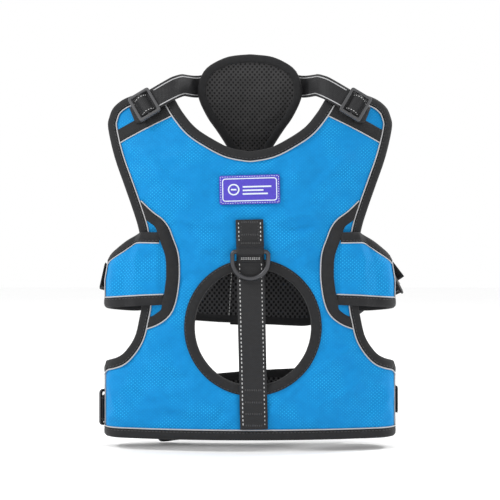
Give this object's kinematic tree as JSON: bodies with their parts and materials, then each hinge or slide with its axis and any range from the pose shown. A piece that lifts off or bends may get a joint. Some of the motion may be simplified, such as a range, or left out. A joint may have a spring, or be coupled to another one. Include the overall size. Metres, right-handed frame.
{
  "type": "dog safety harness vest",
  "caption": "Padded wrap-around dog harness: knit back panel with a round grip opening, leash ring on a spine strap, throat pad, and chest and belly bands with lockable side-release buckles.",
  "frame": {"origin": "middle of the torso space, 110 mm above the hem, where the wearer's trunk holds the harness", "axes": "+Z from the hem to the neck end, -Y out of the back panel with the leash ring, +Y out of the belly side, +X to the side with the buckles"},
  "size_m": [0.2849, 0.0958, 0.3653],
  "materials": {
    "blue_knit": "fine mesh knit",
    "black_mesh": "open air mesh",
    "black_binding": "matt woven tape",
    "silver_piping": "reflective",
    "webbing": "woven",
    "label": "woven",
    "button_orange": "satin",
    "button_coral": "satin",
    "buckle_grey": "satin",
    "dark_steel": "satin",
    "nickel": "polished",
    "slider_black": "satin"
  },
  "bodies": {
    "vest": {"armhole_trim_left": "black_binding", "armhole_trim_right": "black_binding", "back_lining": "black_mesh", "back_shell": "blue_knit", "belly_buckle_anchor": "webbing", "belly_buckle_socket": "buckle_grey", "belly_pad": "black_mesh", "belly_pad_binding": "black_binding", "belly_webbing_left": "webbing", "belly_webbing_right": "webbing", "chest_buckle_anchor": "webbing", "chest_buckle_socket": "buckle_grey", "chest_pad": "black_mesh", "chest_pad_binding": "black_binding", "chest_webbing_left": "webbing", "chest_webbing_right": "webbing", "edge_binding": "black_binding", "edge_piping": "silver_piping", "hem_binding": "black_binding", "hem_piping": "silver_piping", "label_patch": "label", "lower_girth_binding_left": "black_binding", "lower_girth_binding_right": "black_binding", "lower_girth_pad_left": "blue_knit", "lower_girth_pad_right": "blue_knit", "opening_binding": "black_binding", "ring_keeper": "webbing", "shoulder_anchor_left": "webbing", "shoulder_anchor_right": "webbing", "shoulder_band_left": "black_binding", "shoulder_band_right": "black_binding", "shoulder_strap_left": "webbing", "shoulder_strap_right": "webbing", "spine_strap": "webbing", "throat_binding": "black_binding", "throat_cover": "black_binding", "throat_mesh": "black_mesh", "throat_panel": "blue_knit", "throat_strap": "webbing", "upper_girth_pad_left": "blue_knit", "upper_girth_pad_right": "blue_knit", "upper_wing_binding_left": "black_binding", "upper_wing_binding_right": "black_binding", "upper_wing_left": "blue_knit", "upper_wing_right": "blue_knit"},
    "leash_ring": {"d_ring": "dark_steel"},
    "throat_adjuster": {"throat_slider": "nickel"},
    "shoulder_adjuster_left": {"shoulder_slider_left": "slider_black"},
    "shoulder_adjuster_right": {"shoulder_slider_right": "slider_black"},
    "chest_adjuster": {"chest_slider": "dark_steel"},
    "belly_adjuster": {"belly_slider": "dark_steel"},
    "chest_button": {"chest_lock_button": "button_orange"},
    "belly_button": {"belly_lock_button": "button_coral"},
    "chest_plug": {"chest_buckle_plug": "buckle_grey"},
    "belly_plug": {"belly_buckle_plug": "buckle_grey"},
    "chest_arm_a": {"chest_buckle_arm_a": "buckle_grey"},
    "chest_arm_b": {"chest_buckle_arm_b": "buckle_grey"},
    "belly_arm_a": {"belly_buckle_arm_a": "buckle_grey"},
    "belly_arm_b": {"belly_buckle_arm_b": "buckle_grey"}
  },
  "joints": [
    {"name": "ring_swing", "type": "hinge", "parent": "vest", "child": "leash_ring", "pos_m": [0.00025, -0.0493, 0.061], "axis": [-1, 0, 0], "range_deg": [0, 165]},
    {"name": "throat_adjust", "type": "slide", "parent": "vest", "child": "throat_adjuster", "axis": [0.0479, 0, 0.9988], "range_m": [-0.05, 0.01]},
    {"name": "shoulder_adjust_right", "type": "slide", "parent": "vest", "child": "shoulder_adjuster_right", "axis": [0.8582, 0.0177, -0.5131], "range_m": [-0.014, 0.003]},
    {"name": "shoulder_adjust_left", "type": "slide", "parent": "vest", "child": "shoulder_adjuster_left", "axis": [-0.8582, 0.0177, -0.5131], "range_m": [-0.014, 0.003]},
    {"name": "chest_adjust", "type": "hinge", "parent": "vest", "child": "chest_adjuster", "pos_m": [-0.10903, 0.00003, 0.0354], "axis": [0, 0, 1], "range_deg": [0, 22]},
    {"name": "belly_adjust", "type": "hinge", "parent": "vest", "child": "belly_adjuster", "pos_m": [-0.10903, 0.00003, -0.085], "axis": [0, 0, 1], "range_deg": [-28, 10]},
    {"name": "chest_button_press", "type": "slide", "parent": "vest", "child": "chest_button", "axis": [-0.1651, -0.9781, -0.1264], "range_m": [0, 0.00102], "stiffness_N_per_m": 400},
    {"name": "belly_button_press", "type": "slide", "parent": "vest", "child": "belly_button", "axis": [0, -1, 0], "range_m": [0, 0.0012], "stiffness_N_per_m": 400},
    {"name": "chest_release", "type": "slide", "parent": "vest", "child": "chest_plug", "axis": [-0.7766, 0.2079, -0.5947], "range_m": [0, 0.0204], "deforming": ["chest_webbing_right", "chest_buckle_arm_a", "chest_buckle_arm_b"]},
    {"name": "chest_squeeze_a", "type": "hinge", "parent": "chest_plug", "child": "chest_arm_a", "pos_m": [0.09699, 0.03697, 0.02285], "axis": [0.1651, 0.9781, 0.1264], "range_deg": [0, 8], "stiffness_Nm_per_rad": 0.1},
    {"name": "chest_squeeze_b", "type": "hinge", "parent": "chest_plug", "child": "chest_arm_b", "pos_m": [0.10598, 0.03697, 0.01111], "axis": [0.1651, 0.9781, 0.1264], "range_deg": [-8, 0], "stiffness_Nm_per_rad": 0.1},
    {"name": "belly_release", "type": "slide", "parent": "vest", "child": "belly_plug", "axis": [-1, 0, 0], "range_m": [0, 0.024], "deforming": ["belly_webbing_right", "belly_buckle_arm_a", "belly_buckle_arm_b"]},
    {"name": "belly_squeeze_a", "type": "hinge", "parent": "belly_plug", "child": "belly_arm_a", "pos_m": [0.0614, 0.03695, -0.0681], "axis": [0, 1, 0], "range_deg": [0, 8], "stiffness_Nm_per_rad": 0.1},
    {"name": "belly_squeeze_b", "type": "hinge", "parent": "belly_plug", "child": "belly_arm_b", "pos_m": [0.0614, 0.03695, -0.0855], "axis": [0, 1, 0], "range_deg": [-8, 0], "stiffness_Nm_per_rad": 0.1}
  ]
}
